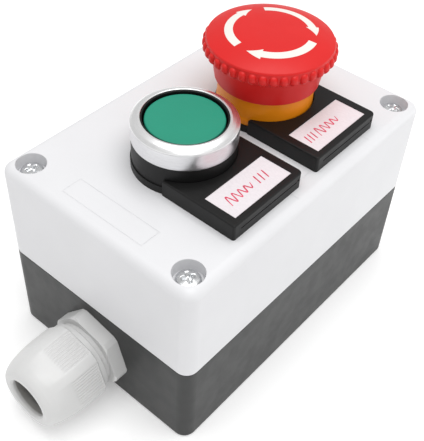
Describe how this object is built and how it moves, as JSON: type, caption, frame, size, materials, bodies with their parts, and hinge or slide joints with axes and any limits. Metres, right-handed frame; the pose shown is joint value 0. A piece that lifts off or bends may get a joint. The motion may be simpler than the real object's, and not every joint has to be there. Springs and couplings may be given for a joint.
{
  "type": "push button control station",
  "caption": "Wall box with a flush green start button, a red twist-release mushroom stop over legend holders, and a cable gland in one end.",
  "frame": {"origin": "centre of the base's flat back face", "axes": "+Z out of the cover towards the buttons, +X along the box away from the cable gland"},
  "size_m": [0.1399, 0.074, 0.0936],
  "materials": {
    "base_plastic": "fine textured moulded ABS",
    "cover_plastic": "fine textured moulded ABS",
    "black_rubber": "matte",
    "zinc_steel": "bright zinc plate",
    "gland_nylon": "moulded nylon",
    "seal_rubber": "matte",
    "black_plastic": "satin moulded",
    "satin_chrome": "satin sides, bright rim",
    "green_plastic": "satin moulded",
    "yellow_plastic": "satin moulded",
    "red_plastic": "satin moulded",
    "card_paper": "card with pen strokes",
    "grey_plastic": "moulded",
    "start_block_plastic": "moulded",
    "stop_block_plastic": "moulded",
    "contact_brass": "bright strip with silver rivets",
    "spring_steel": "drawn wire"
  },
  "bodies": {
    "root": {"base_shell": "base_plastic", "cover_shell": "cover_plastic", "cover_gasket": "black_rubber", "cover_screws": "zinc_steel", "gland_body": "gland_nylon", "gland_washer": "black_rubber", "gland_locknut": "gland_nylon", "start_collar": "black_plastic", "start_bezel": "satin_chrome", "stop_body": "black_plastic", "stop_collar": "yellow_plastic", "start_legend_holder": "black_plastic", "start_legend_card": "card_paper", "start_panel_gasket": "black_rubber", "start_spring_seat": "zinc_steel", "start_lock_nut": "black_plastic", "start_block_carrier": "grey_plastic", "start_contact_housing": "start_block_plastic", "start_contact_lid": "grey_plastic", "start_fixed_contacts": "contact_brass", "start_terminal_screws": "zinc_steel", "start_return_spring": "spring_steel", "start_contact_spring": "spring_steel", "stop_legend_holder": "black_plastic", "stop_legend_card": "card_paper", "stop_panel_gasket": "black_rubber", "stop_spring_seat": "zinc_steel", "stop_lock_nut": "black_plastic", "stop_block_carrier": "grey_plastic", "stop_contact_housing": "stop_block_plastic", "stop_contact_lid": "grey_plastic", "stop_fixed_contacts": "contact_brass", "stop_terminal_screws": "zinc_steel", "stop_return_spring": "spring_steel", "stop_contact_spring": "spring_steel"},
    "start_button": {"start_cap": "green_plastic", "start_plunger": "black_plastic"},
    "start_pusher": {"start_contact_plunger": "start_block_plastic", "start_bridge_spring": "spring_steel"},
    "start_bridge": {"start_contact_bridge": "contact_brass"},
    "stop_shaft": {"stop_stem": "black_plastic"},
    "stop_head": {"stop_cap": "red_plastic", "stop_skirt": "red_plastic", "stop_latch_cam": "black_plastic", "stop_torsion_spring": "spring_steel"},
    "stop_pusher": {"stop_contact_plunger": "stop_block_plastic", "stop_contact_bridge": "contact_brass", "stop_bridge_spring": "spring_steel"},
    "gland_grip": {"gland_seal": "seal_rubber"},
    "gland_cap": {"gland_nut": "gland_nylon"}
  },
  "joints": [
    {"name": "start_push", "type": "slide", "parent": "root", "child": "start_button", "axis": [0, 0, -1], "range_m": [0, 0.004], "stiffness_N_per_m": 1200, "springref_m": -0.002, "deforming": ["start_return_spring"]},
    {"name": "start_contact_push", "type": "slide", "parent": "root", "child": "start_pusher", "axis": [0, 0, -1], "range_m": [0, 0.004], "deforming": ["start_contact_spring", "start_bridge_spring"]},
    {"name": "start_bridge_close", "type": "slide", "parent": "root", "child": "start_bridge", "axis": [0, 0, -1], "range_m": [0, 0.00192]},
    {"name": "stop_push", "type": "slide", "parent": "root", "child": "stop_shaft", "axis": [0, 0, -1], "range_m": [0, 0.005], "deforming": ["stop_return_spring"]},
    {"name": "stop_twist", "type": "hinge", "parent": "stop_shaft", "child": "stop_head", "pos_m": [0.0192, -0.0005, 0.0864], "axis": [0, 0, -1], "range_deg": [0, 45], "stiffness_Nm_per_rad": 0.05},
    {"name": "stop_contact_push", "type": "slide", "parent": "root", "child": "stop_pusher", "axis": [0, 0, -1], "range_m": [0, 0.005], "deforming": ["stop_contact_spring"]},
    {"name": "gland_seal_slide", "type": "slide", "parent": "root", "child": "gland_grip", "axis": [1, 0, 0], "range_m": [0, 0.0015]},
    {"name": "gland_nut_turn", "type": "hinge", "parent": "gland_grip", "child": "gland_cap", "pos_m": [-0.073, 0.00035, 0.0155], "axis": [1, 0, 0], "range_deg": [0, 360]}
  ],
  "couplings": [
    {"joint": "start_contact_push", "follows": "start_push", "ratio": 1},
    {"joint": "start_bridge_close", "follows": "start_push", "ratio": 0.48},
    {"joint": "stop_contact_push", "follows": "stop_push", "ratio": 1},
    {"joint": "gland_nut_turn", "follows": "gland_seal_slide", "rad_per_m": 4188.7}
  ]
}
